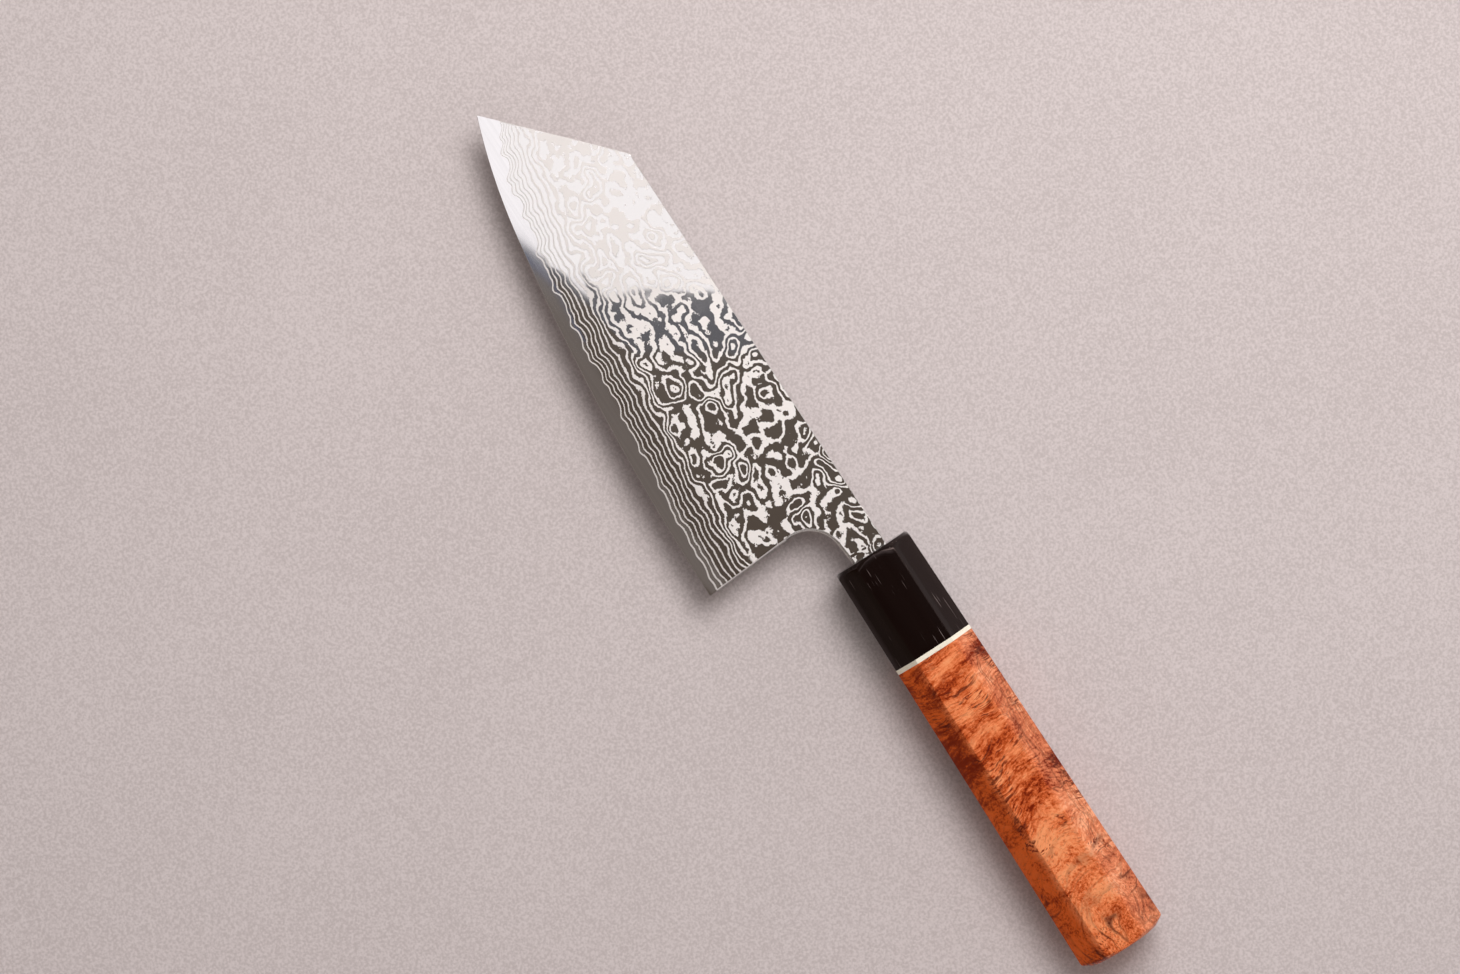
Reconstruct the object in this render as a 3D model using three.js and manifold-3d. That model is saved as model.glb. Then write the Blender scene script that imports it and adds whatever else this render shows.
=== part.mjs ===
// A ko-bunka kitchen knife: a three-layer blade whose tang is bedded in an octagonal wooden handle.
// All sizes are in millimetres. Before the last shift x = 0 is the front face of the ferrule and
// y = z = 0 is the handle's axis: +X runs to the tip, +Y to the cutting edge, +Z out of the left face.
import * as THREE from 'three';
import { mergeVertices } from 'three/addons/utils/BufferGeometryUtils.js';
import Module from 'manifold-3d';

const wasm = await Module();
wasm.setup();

const { degToRad, lerp } = THREE.MathUtils;

// Blade outline
const tipReach = 146.9; // ferrule face to tip
const heelReach = 12.9; // ferrule face to heel
const heelDepth = 40.1; // handle axis to heel
const edgeRadius = 640; // long belly of the cutting edge, level at the heel
const tipCurveRadius = 165; // quicker curve of the edge towards the tip
const tipCurveLength = 30; // along the handle's axis
const spineRise = 4.45; // handle axis up to the spine, at the ferrule
const spineFall = 1; // how far the spine comes down on its way to the clipped tip
const clipLength = 29; // the clipped tip, along the handle's axis
const clipRound = 2; // soft corner between spine and clip
const neckDepth = 5.35; // handle axis down to the underside of the neck, at the ferrule
const neckFlare = degToRad(6); // the neck deepens towards the blade
const choilRadius = 9; // hollow between neck and heel
const choilEase = 0.5; // rounding along neck and choil, which runs out where the heel gets thin
const heelLean = degToRad(3.6); // the back of the heel leans forward as it rises

// Blade section
const neckThickness = 2.8; // across the spine where the tang's taper starts
const tipThickness = 1; // across the spine line, carried on to the tip
const tangEndThickness = 1.8;
const tangTaperStart = 2; // ahead of the ferrule face
const flatTaper = 0.011; // each side closes in by this much per millimetre towards the edge
const bevelWidth = 14; // convex bevel, from the flat to the edge shoulder
const edgeThickness = 0.24; // behind the small final bevel
const edgeBevel = 0.5; // width of the small final bevel
const spineEase = 0.5; // rounding along the spine
const easeShare = 0.8; // most of the half thickness that the rounding may take where the spine is thin
const coreAtNeck = 0.72; // hard core steel between the two layers of cladding
const coreAtTip = 0.4;
const coreAtTangEnd = 0.46;
const weldLine = 0.01; // between core and cladding

// Handle
const handleLength = 117.8;
const ferruleLength = 28.4;
const spacerLength = 1.2;
const frontHeight = 21.1;
const buttHeight = 24;
const frontThickness = 17.5;
const buttThickness = 20;
const frontFacet = 5.2; // leg of the corner facets at the ferrule face
const buttFacet = 6.6;
const arrisRound = 0.6; // softened edge between two facets
const noseAngle = degToRad(47); // oval chamfer round the ferrule's face
const buttAngle = degToRad(30); // round chamfer at the butt
const chamferBite = 0.4; // how far the two chamfers reach into the broad facets at the end faces

// Tang and its bedding
const tangEndHeight = 5;
const tangEndRound = 1.2;
const tangClearance = 0.15; // round the tang, in the ferrule's slot and in the bedding
const ferruleWall = 8; // solid front of the ferrule
const dowelCover = 0.5; // from the deepest part of the tang to the outside of the dowel
const glueLine = 0.1; // round the dowel and between dowel and bedding
const buttWall = 31; // solid wood behind the dowel
const dowelPastTang = 10;
const kerfPastTang = 3;
const beddingWall = 0.7; // on each side of the tang

// Resolution
const edgeSteps = 22;
const bevelSteps = 7;
const easeSteps = 3;
const choilEaseSteps = 3;
const filletSteps = 10;
const arrisSteps = 2;
const boreSides = 32;
const chamferSides = 72;
const filletRoom = 0.95; // most of a side that a rounded corner may take

// Room that a cutting body keeps past the piece that it cuts
const overcut = 10;
const spineOvercut = 0.01;

const dowelEnd = handleLength - buttWall;
const tangLength = dowelEnd - dowelPastTang;
const dowelRadius = neckDepth + tangClearance + dowelCover;
const clipStart = tipReach - clipLength;

// Solids from closed geometries, and back

function toSolid(geometry) {
  const bare = geometry.clone();
  bare.deleteAttribute('normal');
  bare.deleteAttribute('uv');
  const merged = mergeVertices(bare);
  const vertProperties = new Float32Array(merged.attributes.position.array);
  const triVerts = new Uint32Array(merged.index.array);
  return new wasm.Manifold(new wasm.Mesh({ numProp: 3, vertProperties, triVerts }));
}

function toGeometry(solid) {
  const { vertProperties, triVerts } = solid.getMesh();
  const indexed = new THREE.BufferGeometry();
  indexed.setAttribute('position', new THREE.BufferAttribute(vertProperties, 3));
  indexed.setIndex(new THREE.BufferAttribute(triVerts, 1));
  const geometry = indexed.toNonIndexed();
  geometry.computeVertexNormals();
  return geometry;
}

// Lofts through rings of (y, z) points, each ring at its own x, in order of rising x

function loft(stations) {
  const count = stations[0].ring.length;
  const positions = stations.flatMap(({ x, ring }) => ring.flatMap((point) => [x, point.x, point.y]));
  const indices = [];
  for (let row = 0; row + 1 < stations.length; row += 1) {
    for (let column = 0; column < count; column += 1) {
      const next = (column + 1) % count;
      const [a, b] = [row * count + column, row * count + next];
      const [c, d] = [b + count, a + count];
      indices.push(a, b, c, a, c, d);
    }
  }
  const capFrom = (row, flip) => {
    for (const [a, b, c] of THREE.ShapeUtils.triangulateShape(stations[row].ring, [])) {
      const corners = flip ? [c, b, a] : [a, b, c];
      indices.push(...corners.map((corner) => row * count + corner));
    }
  };
  capFrom(0, true);
  capFrom(stations.length - 1, false);
  const geometry = new THREE.BufferGeometry();
  geometry.setAttribute('position', new THREE.Float32BufferAttribute(positions, 3));
  geometry.setIndex(indices);
  return toSolid(geometry);
}

function rectangle(yLow, yHigh, zLow, zHigh) {
  return [
    new THREE.Vector2(yHigh, zLow),
    new THREE.Vector2(yHigh, zHigh),
    new THREE.Vector2(yLow, zHigh),
    new THREE.Vector2(yLow, zLow),
  ];
}

// Points of the arc that rounds one corner, as far as its two sides leave room for it
function fillet(before, corner, after, radius, steps) {
  const toBefore = before.clone().sub(corner);
  const toAfter = after.clone().sub(corner);
  const halfAngle = toBefore.angleTo(toAfter) / 2;
  const room = Math.min(toBefore.length(), toAfter.length()) * filletRoom;
  const tangent = Math.min(radius / Math.tan(halfAngle), room);
  const fitted = tangent * Math.tan(halfAngle);
  const start = corner.clone().add(toBefore.setLength(tangent));
  const end = corner.clone().add(toAfter.setLength(tangent));
  const inward = start.clone().add(end).multiplyScalar(0.5).sub(corner);
  const centre = corner.clone().add(inward.setLength(fitted / Math.sin(halfAngle)));
  const spoke = start.sub(centre);
  const sweep = Math.PI - 2 * halfAngle;
  const turn = spoke.cross(end.sub(centre)) > 0 ? sweep : -sweep;
  const origin = new THREE.Vector2();
  return Array.from({ length: steps + 1 }, (_, step) =>
    spoke.clone().rotateAround(origin, (turn * step) / steps).add(centre));
}

function roundedPolygon(corners, steps) {
  return corners.flatMap(({ at, round = 0 }, index) => {
    if (round === 0) {
      return [at];
    }
    const before = corners[(index + corners.length - 1) % corners.length].at;
    const after = corners[(index + 1) % corners.length].at;
    return fillet(before, at, after, round, steps);
  });
}

// A bar or cone along X, from xLow to xHigh, round or stretched to an oval across Y
function roundBar(xLow, xHigh, radiusLow, radiusHigh, sides, oval = 1) {
  const geometry = new THREE.CylinderGeometry(radiusHigh, radiusLow, xHigh - xLow, sides);
  geometry.rotateZ(-Math.PI / 2);
  geometry.scale(1, oval, 1);
  geometry.translate((xLow + xHigh) / 2, 0, 0);
  return toSolid(geometry);
}

// The blade

// The cutting edge is two arcs that run smoothly into each other where the curve of the tip starts
const tipCurveStart = tipReach - tipCurveLength;
const bellyCentre = new THREE.Vector2(heelReach, heelDepth - edgeRadius);
const joinAngle = Math.asin((tipCurveStart - heelReach) / edgeRadius);
const tipCurveCentre = new THREE.Vector2(Math.sin(joinAngle), Math.cos(joinAngle))
  .multiplyScalar(edgeRadius - tipCurveRadius)
  .add(bellyCentre);

function edgeY(x) {
  const [centre, radius] = x < tipCurveStart ? [bellyCentre, edgeRadius] : [tipCurveCentre, tipCurveRadius];
  return centre.y + Math.sqrt(radius ** 2 - (x - centre.x) ** 2);
}

const tipDepth = edgeY(tipReach);

function spineY(x) {
  return -spineRise + (spineFall * x) / clipStart;
}

// A thickness that runs straight from tang end to neck and from neck to tip, halved
function halfAlong(x, atTangEnd, atNeck, atTip) {
  const thickness = x < tangTaperStart
    ? lerp(atTangEnd, atNeck, (x + tangLength) / (tangTaperStart + tangLength))
    : lerp(atNeck, atTip, (x - tangTaperStart) / (tipReach - tangTaperStart));
  return thickness / 2;
}

function spineHalf(x) {
  return halfAlong(x, tangEndThickness, neckThickness, tipThickness);
}

function coreHalf(x) {
  return halfAlong(x, coreAtTangEnd, coreAtNeck, coreAtTip);
}

// Cross-section of the ground blade: eased spine, flat side, convex bevel, small final bevel
function groundSection(x) {
  const top = spineY(x);
  const edge = edgeY(x);
  const shoulder = edge - edgeBevel;
  const flatHalf = (y) => spineHalf(x) - flatTaper * (y - top);
  const relief = flatHalf(shoulder) - edgeThickness / 2;
  const ease = Math.min(spineEase, spineHalf(x) * easeShare);
  const side = [];
  for (let step = 0; step <= bevelSteps; step += 1) {
    const share = step / bevelSteps;
    const y = shoulder - bevelWidth * share;
    side.push(new THREE.Vector2(y, flatHalf(y) - relief * (1 - share) ** 2));
  }
  for (let step = easeSteps; step >= 0; step -= 1) {
    const angle = (Math.PI / 2) * (step / easeSteps);
    const y = top + ease * (1 - Math.cos(angle));
    side.push(new THREE.Vector2(y, flatHalf(y) - ease * (1 - Math.sin(angle))));
  }
  const mirrored = side.map((point) => new THREE.Vector2(point.x, -point.y)).reverse();
  return [new THREE.Vector2(edge, 0), ...side, ...mirrored];
}

function groundBlank() {
  const stations = [-tangLength - overcut, tangTaperStart];
  for (let step = 0; step <= edgeSteps; step += 1) {
    stations.push(lerp((tangTaperStart + heelReach) / 2, tipReach + overcut, step / edgeSteps));
  }
  return loft(stations.map((x) => ({ x, ring: groundSection(x) })));
}

// Back of the heel, choil and underside of the neck, from past the edge to the ferrule face
const pastEdge = heelDepth + overcut;
const choilCorners = (() => {
  const lean = Math.tan(heelLean);
  const flare = Math.tan(neckFlare);
  const choilX = (heelReach + lean * (heelDepth - neckDepth)) / (1 + lean * flare);
  return [
    { at: new THREE.Vector2(heelReach - lean * overcut, pastEdge) },
    { at: new THREE.Vector2(choilX, neckDepth + flare * choilX), round: choilRadius },
    { at: new THREE.Vector2(0, neckDepth) },
  ];
})();

// Side view of the blade and its tang, left long past the edge, which the grind ends by itself
function bladeOutline() {
  const clipSlope = clipLength / (tipDepth - spineY(clipStart));
  const corners = [
    { at: new THREE.Vector2(-tangLength, -tangEndHeight / 2), round: tangEndRound },
    { at: new THREE.Vector2(0, -spineRise - spineOvercut) },
    { at: new THREE.Vector2(clipStart, spineY(clipStart) - spineOvercut), round: clipRound },
    { at: new THREE.Vector2(tipReach + clipSlope * (pastEdge - tipDepth), pastEdge) },
    ...choilCorners,
    { at: new THREE.Vector2(-tangLength, tangEndHeight / 2), round: tangEndRound },
  ];
  const depth = neckThickness + 2 * overcut;
  const shape = new THREE.Shape(roundedPolygon(corners, filletSteps));
  const geometry = new THREE.ExtrudeGeometry(shape, { depth, bevelEnabled: false });
  geometry.translate(0, 0, -depth / 2);
  return toSolid(geometry);
}

// The open space behind the heel, flared where it meets the two faces of the blade
function choilFlare() {
  const depth = neckThickness - 2 * choilEase;
  const corners = [...choilCorners, { at: new THREE.Vector2(0, pastEdge) }];
  const shape = new THREE.Shape(roundedPolygon(corners, filletSteps));
  const geometry = new THREE.ExtrudeGeometry(shape, {
    depth,
    bevelThickness: choilEase,
    bevelSize: -choilEase,
    bevelOffset: choilEase,
    bevelSegments: choilEaseSteps,
  });
  geometry.translate(0, 0, -depth / 2);
  return toSolid(geometry);
}

// One layer of the forge-welded blade, between two surfaces that taper with it
function layer(zLow, zHigh) {
  const reach = heelDepth + 2 * overcut;
  const ends = [-tangLength - 2 * overcut, tangTaperStart, tipReach + 2 * overcut];
  return loft(ends.map((x) => ({ x, ring: rectangle(-reach, reach, zLow(x), zHigh(x)) })));
}

const blade = groundBlank().intersect(bladeOutline()).subtract(choilFlare());
const outside = () => neckThickness;
const leftWeld = (x) => coreHalf(x) + weldLine;
const coreSteel = blade.intersect(layer((x) => -coreHalf(x), coreHalf));
const claddingLeft = blade.intersect(layer(leftWeld, outside));
const claddingRight = blade.intersect(layer(() => -neckThickness, (x) => -leftWeld(x)));

// The tang with room round it, as a cutting body
function tangRoom() {
  const endX = -tangLength - tangClearance;
  const mouthX = tangTaperStart / 2;
  const stations = [endX, mouthX].map((x) => {
    const along = (x + tangLength) / tangLength;
    const top = -lerp(tangEndHeight / 2, spineRise, along) - tangClearance;
    const bottom = lerp(tangEndHeight / 2, neckDepth, along) + tangClearance;
    const half = spineHalf(x) + tangClearance;
    return { x, ring: rectangle(top, bottom, -half, half) };
  });
  return loft(stations);
}

// The handle

function octagon(x) {
  const along = -x / handleLength;
  const halfHeight = lerp(frontHeight, buttHeight, along) / 2;
  const halfThickness = lerp(frontThickness, buttThickness, along) / 2;
  const leg = lerp(frontFacet, buttFacet, along);
  const quarter = [
    [halfHeight, halfThickness - leg],
    [halfHeight - leg, halfThickness],
  ];
  const around = [
    ...quarter.map(([y, z]) => [y, z]),
    ...quarter.map(([y, z]) => [-y, z]).reverse(),
    ...quarter.map(([y, z]) => [-y, -z]),
    ...quarter.map(([y, z]) => [y, -z]).reverse(),
  ];
  const corners = around.map(([y, z]) => ({ at: new THREE.Vector2(y, z), round: arrisRound }));
  return roundedPolygon(corners, arrisSteps);
}

function octagonBar(xLow, xHigh) {
  return loft([xLow, xHigh].map((x) => ({ x, ring: octagon(x) })));
}

const spacerFront = -ferruleLength;
const bodyFront = spacerFront - spacerLength;
const boreRadius = dowelRadius + glueLine;
const dowelBore = roundBar(-dowelEnd - glueLine, -ferruleWall, boreRadius, boreRadius, boreSides);
const tangSlot = tangRoom();

// A cone that leaves a flat face at x = faceX and opens towards the other end of the handle
function chamferedEnd(faceX, farX, thickness, angle, oval) {
  const faceRadius = thickness / 2 - chamferBite;
  const farRadius = faceRadius + Math.abs(farX - faceX) / Math.tan(angle);
  return faceX > farX
    ? roundBar(farX, faceX, farRadius, faceRadius, chamferSides, oval)
    : roundBar(faceX, farX, faceRadius, farRadius, chamferSides, oval);
}

const ferrule = octagonBar(spacerFront, 0)
  .intersect(chamferedEnd(0, spacerFront - overcut, frontThickness, noseAngle, frontHeight / frontThickness))
  .subtract(dowelBore)
  .subtract(tangSlot);

const spacer = octagonBar(bodyFront, spacerFront).subtract(dowelBore).subtract(tangSlot);

const handleBody = octagonBar(-handleLength, bodyFront)
  .intersect(chamferedEnd(-handleLength, bodyFront + overcut, buttThickness, buttAngle, 1))
  .subtract(dowelBore)
  .subtract(tangSlot);

// The slotted dowel that joins ferrule, spacer and body, and the resin that beds the tang in its slot

const dowelFront = -ferruleWall - glueLine;
const kerfHalf = neckThickness / 2 + beddingWall;

function kerf(inset, front, end) {
  const across = rectangle(-dowelRadius - overcut, dowelRadius + overcut, inset - kerfHalf, kerfHalf - inset);
  return loft([end + inset, front].map((x) => ({ x, ring: across })));
}

const dowelRod = roundBar(-dowelEnd, dowelFront, dowelRadius, dowelRadius, boreSides);
const kerfEnd = -tangLength - kerfPastTang;
const tangDowel = dowelRod.subtract(kerf(0, dowelFront + overcut, kerfEnd));
const tangBedding = dowelRod.intersect(kerf(glueLine, dowelFront + overcut, kerfEnd)).subtract(tangSlot);

// The assembly

function piece(name, solid, color, roughness, metalness) {
  const material = new THREE.MeshStandardMaterial({ color, roughness, metalness });
  const mesh = new THREE.Mesh(toGeometry(solid), material);
  mesh.name = name;
  return mesh;
}

const knife = new THREE.Group();
knife.add(
  piece('core_steel', coreSteel, 0x8f8880, 0.25, 1),
  piece('cladding_left', claddingLeft, 0xb5aea4, 0.3, 1),
  piece('cladding_right', claddingRight, 0xb5aea4, 0.3, 1),
  piece('ferrule', ferrule, 0x17110f, 0.3, 0),
  piece('spacer', spacer, 0xf5eedc, 0.4, 0),
  piece('handle_body', handleBody, 0xc45c30, 0.4, 0),
  piece('tang_dowel', tangDowel, 0xc9a878, 0.7, 0),
  piece('tang_bedding', tangBedding, 0xb98f3c, 0.4, 0),
);

// The part's own origin lies under the middle of its box, on the surface that it lies on
const box = new THREE.Box3().setFromObject(knife);
const middle = box.getCenter(new THREE.Vector3());
knife.position.set(-middle.x, -middle.y, -box.min.z);

export default knife;
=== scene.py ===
import math

import bpy
import numpy as np
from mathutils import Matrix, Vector


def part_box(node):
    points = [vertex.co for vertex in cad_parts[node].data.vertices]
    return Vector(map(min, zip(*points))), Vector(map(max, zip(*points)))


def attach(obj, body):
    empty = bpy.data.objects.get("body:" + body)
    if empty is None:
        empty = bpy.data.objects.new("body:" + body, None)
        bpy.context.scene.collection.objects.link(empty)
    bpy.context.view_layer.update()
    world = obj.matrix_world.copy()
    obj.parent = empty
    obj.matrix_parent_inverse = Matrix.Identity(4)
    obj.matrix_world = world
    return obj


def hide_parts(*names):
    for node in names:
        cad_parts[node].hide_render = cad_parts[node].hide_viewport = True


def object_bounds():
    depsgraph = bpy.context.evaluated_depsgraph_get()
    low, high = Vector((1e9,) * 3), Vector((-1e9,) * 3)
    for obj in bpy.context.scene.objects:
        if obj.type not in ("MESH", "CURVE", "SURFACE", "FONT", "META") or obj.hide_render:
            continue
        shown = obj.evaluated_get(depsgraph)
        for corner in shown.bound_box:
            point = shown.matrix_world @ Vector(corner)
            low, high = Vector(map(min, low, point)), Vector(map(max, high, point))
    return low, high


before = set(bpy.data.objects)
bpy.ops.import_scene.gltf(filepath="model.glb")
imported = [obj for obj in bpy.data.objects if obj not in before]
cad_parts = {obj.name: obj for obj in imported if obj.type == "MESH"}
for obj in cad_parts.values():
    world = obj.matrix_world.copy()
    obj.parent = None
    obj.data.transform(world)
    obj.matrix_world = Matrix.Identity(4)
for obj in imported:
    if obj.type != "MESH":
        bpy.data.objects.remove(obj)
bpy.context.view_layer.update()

# The knife's own space, in millimetres: x = 0 on the ferrule's face, y = z = 0 on the handle's axis,
# x to the tip, y to the cutting edge, z out of the face that shows
millimetre = 0.001
spacerLow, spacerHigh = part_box("spacer")
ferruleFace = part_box("ferrule")[1].x
handleAxis = (spacerLow + spacerHigh) / 2
knifeOrigin = Vector((ferruleFace, handleAxis.y, handleAxis.z))
body = "root"


# Sums on sockets

class Value:  # a socket that takes part in sums: each operator adds a Math node
    def __init__(self, board, socket):
        self.board = board
        self.socket = socket

    def calc(self, operation, *others):
        return self.board.maths(operation, self, *others)

    def output(self, name):  # another output of the same node
        return Value(self.board, self.socket.node.outputs[name])

    def __add__(self, other):
        return self.calc("ADD", other)

    __radd__ = __add__

    def __sub__(self, other):
        return self.calc("SUBTRACT", other)

    def __rsub__(self, other):
        return self.board.maths("SUBTRACT", other, self)

    def __mul__(self, other):
        return self.calc("MULTIPLY", other)

    __rmul__ = __mul__

    def __truediv__(self, other):
        return self.calc("DIVIDE", other)

    def __rtruediv__(self, other):
        return self.board.maths("DIVIDE", other, self)

    def __neg__(self):
        return self * -1

    def __lt__(self, other):
        return self.calc("LESS_THAN", other)

    def __gt__(self, other):
        return self.calc("GREATER_THAN", other)


class Board:  # a node tree that is filled from expressions
    def __init__(self, tree):
        self.tree = tree

    def add(self, kind, sockets=(), out=0, **settings):
        node = self.tree.nodes.new(kind)
        for key, setting in settings.items():
            setattr(node, key, setting)
        usable = [socket for socket in node.inputs if socket.enabled]
        named = {socket.name: socket for socket in reversed(usable)}
        pairs = sockets.items() if isinstance(sockets, dict) else enumerate(sockets)
        for key, value in pairs:
            socket = named[key] if isinstance(key, str) else usable[key]
            for single in (value if isinstance(value, list) else [value]):  # a list is several links
                if isinstance(single, Value):
                    self.tree.links.new(single.socket, socket)
                else:
                    socket.default_value = single
        shown = [socket for socket in node.outputs if socket.enabled]
        if not shown:
            return node
        return Value(self, node.outputs[out] if isinstance(out, str) else shown[out])

    def maths(self, operation, *values):
        return self.add("ShaderNodeMath", values, operation=operation)

    def vectors(self, operation, *values, out=0):
        return self.add("ShaderNodeVectorMath", values, out, operation=operation)

    def join(self, x, y, z):
        return self.add("ShaderNodeCombineXYZ", (x, y, z))


def emptyBoard(owner):  # of a material or a world
    owner.use_nodes = True
    owner.node_tree.nodes.clear()
    return Board(owner.node_tree)


def splitPlace(place):
    parts = place.board.add("ShaderNodeSeparateXYZ", [place])
    return parts, parts.output("Y"), parts.output("Z")


# These take sockets and plain numbers alike

def larger(a, b):
    return a.calc("MAXIMUM", b) if isinstance(a, Value) else np.maximum(a, b)


def smaller(a, b):
    return a.calc("MINIMUM", b) if isinstance(a, Value) else np.minimum(a, b)


def root(a):
    return a.calc("SQRT") if isinstance(a, Value) else np.sqrt(a)


def sine(a):
    return a.calc("SINE") if isinstance(a, Value) else np.sin(a)


def pick(choice, yes, no):  # choice is 0 or 1
    return choice * (yes - no) + no


def between(share, low, high):
    return share * (high - low) + low


# Meshes from node trees

panelFields = ("toSpine", "toEdge", "rimGap", "rimEase")  # known at each point of the blade's panel


def addObject(name, data):
    thing = bpy.data.objects.new(name, data)
    bpy.context.scene.collection.objects.link(thing)
    return thing


def geometryBoard(name, sizeNames):
    tree = bpy.data.node_groups.new(name, "GeometryNodeTree")
    tree.interface.new_socket("Geometry", in_out="INPUT", socket_type="NodeSocketGeometry")
    tree.interface.new_socket("Geometry", in_out="OUTPUT", socket_type="NodeSocketGeometry")
    for size in sizeNames:
        tree.interface.new_socket(size, in_out="INPUT", socket_type="NodeSocketFloat")
    tree.interface.new_socket("finish", in_out="INPUT", socket_type="NodeSocketMaterial")
    board = Board(tree)
    first = board.add("NodeGroupInput")
    sizes = {size: first.output(size) for size in sizeNames}
    return board, first, sizes


def closeBoard(board, first, shape, mergeGap):
    # knife space to the frame, one plain mesh with its finish
    merged = board.add("GeometryNodeMergeByDistance", {"Geometry": shape, "Distance": mergeGap})
    placed = board.add("GeometryNodeTransform", {
        "Geometry": merged, "Translation": knifeOrigin, "Scale": (millimetre, millimetre, millimetre)})
    real = board.add("GeometryNodeRealizeInstances", {"Geometry": placed})
    dressed = board.add("GeometryNodeSetMaterial", {
        "Geometry": real, "Material": first.output("finish")})
    board.add("NodeGroupOutput", [dressed])
    return board.tree


def makePiece(name, mesh, tree, sizes, finish, sharpAngle):
    piece = addObject(name, mesh)
    modifier = piece.modifiers.new("shape", "NODES")
    modifier.node_group = tree
    inputs = {item.name: item.identifier for item in tree.interface.items_tree if item.in_out == "INPUT"}
    for size, value in sizes.items():
        modifier[inputs[size]] = float(value)
    modifier[inputs["finish"]] = finish
    evaluated = piece.evaluated_get(bpy.context.evaluated_depsgraph_get())
    plain = bpy.data.meshes.new_from_object(evaluated)
    piece.modifiers.remove(modifier)
    piece.data = plain
    plain.name = name
    for attribute in [item.name for item in plain.attributes if item.name in panelFields]:
        plain.attributes.remove(plain.attributes[attribute])
    plain.polygons.foreach_set("use_smooth", [True] * len(plain.polygons))
    plain.set_sharp_from_angle(angle=sharpAngle)
    print("made", name, len(plain.vertices), "points", len(plain.polygons), "faces")
    return piece


def settle(piece, slotName, *nodes):
    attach(piece, body)
    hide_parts(*nodes)


# Blade: a flat panel of its side view, and the grind that gives the panel its thickness

coreLow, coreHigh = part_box("core_steel")
blade = {
    "tipReach": (coreHigh.x - ferruleFace) / millimetre,
    "heelReach": 12.9,
    "heelDepth": (coreHigh.y - handleAxis.y) / millimetre,
    "edgeRadius": 640,        # long belly, level at the heel
    "tipCurveRadius": 165,    # quicker curve towards the tip
    "tipCurveLength": 30,
    "spineRise": 4.45,
    "spineFall": 1,
    "clipLength": 29,
    "clipRound": 2,
    "neckDepth": 5.35,
    "neckFlare": math.radians(6),
    "choilRadius": 9,
    "heelLean": math.radians(3.6),
    "tangLength": (ferruleFace - coreLow.x) / millimetre,
    "tangEndHeight": 5,
    "spineEase": 0.1,         # rounding along each rim
    "clipEase": 0.08,
    "neckEase": 0.85,
    "heelEase": 0.35,
    "clipEaseRun": (-4, 2),   # round the clip's corner, from the spine's rounding to the clip's
    "choilEaseRun": (1, 2),   # below the ends of the choil's arc, from the neck's to the heel's
}
grind = {
    "tipReach": blade["tipReach"],
    "tangLength": blade["tangLength"],
    "taperStart": 2,
    "neckThickness": 2.8,
    "tipThickness": 1,
    "tangThickness": 1.8,
    "flatTaper": 0.011,
    "bevelWidth": 14,
    "edgeThickness": 0.2,
    "edgeBevel": 0.1,
    "easeShare": 0.8,         # most of the cladding that a rim's rounding may take
    "coreAtNeck": 0.72,
    "coreAtTip": 0.4,
    "coreAtTang": 0.46,
    "coreSwell": 0.085,       # extra on each side in the middle, so more of the core shows there
    "swellStart": 22,
    "swellLength": 68,
    "weldWave": 0.018,        # how far the weld wanders between core and cladding
}
weldWaves = ((9.3, 0.4, 1), (5.1, 2.1, 0.6), (3.3, 4.4, 0.35), (23, 1.3, 0.8))  # length, phase, share
panel = {
    "tang": 10,               # faces along each stretch of the outline
    "neck": 8,
    "choil": 26,
    "heel": 26,
    "edge": 150,
    "corner": 8,
    "clip": 60,
    "point": 8,
    "spineStops": (0, 5, 13, 27),   # where neck, choil, heel and edge start along the spine
    "edgeStops": (122, 124.5),      # opposite the clip's corner along the edge
    "cladRows": 64,           # faces from the spine to the weld, and on to the final bevel
    "coreRows": 14,
    "bevelRows": (0.5, 1),
    "rimStep": 0.15,          # first and last rows against even ones
    "weldStep": 0.5,
    "mergeGap": 0.00005,
    "sharpAngle": math.radians(25),
}


def alongBlade(size, x, atNeck, atTip, atTang):  # straight from neck to tip and from neck to tang end
    ahead = larger(x - size["taperStart"], 0) / (size["tipReach"] - size["taperStart"])
    behind = larger(size["taperStart"] - x, 0) / (size["tangLength"] + size["taperStart"])
    return atNeck - (atNeck - atTip) * ahead - (atNeck - atTang) * behind


def flatHalf(size, x, toSpine):
    spine = alongBlade(size, x, size["neckThickness"], size["tipThickness"], size["tangThickness"])
    return spine * 0.5 - toSpine * size["flatTaper"]


def groundHalf(size, x, toSpine, toEdge):  # flat side, convex bevel, small final bevel
    flat = flatHalf(size, x, toSpine)
    aboveShoulder = larger(toEdge - size["edgeBevel"], 0)
    relief = flat - aboveShoulder * size["flatTaper"] - size["edgeThickness"] * 0.5
    left = 1 - smaller(aboveShoulder / size["bevelWidth"], 1)
    return (flat - relief * left * left) * smaller(larger(toEdge, 0) / size["edgeBevel"], 1)


def easedHalf(size, half, weld, rimGap, rimEase):  # round stretch next to a rim, within the cladding
    fitted = smaller(rimEase, larger(half - weld, 0) * size["easeShare"])
    within = larger(fitted - rimGap, 0)
    return half - fitted + root(larger(fitted * fitted - within * within, 0))


def weldHalf(size, x):
    core = alongBlade(size, x, size["coreAtNeck"], size["coreAtTip"], size["coreAtTang"]) * 0.5
    bulge = larger(sine(larger(x - size["swellStart"], 0) * (math.pi / size["swellLength"])), 0)
    core = core + bulge * size["coreSwell"]
    for length, phase, share in weldWaves:
        core = core + sine(x * (2 * math.pi / length) + phase) * (size["weldWave"] * share)
    return core


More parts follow.
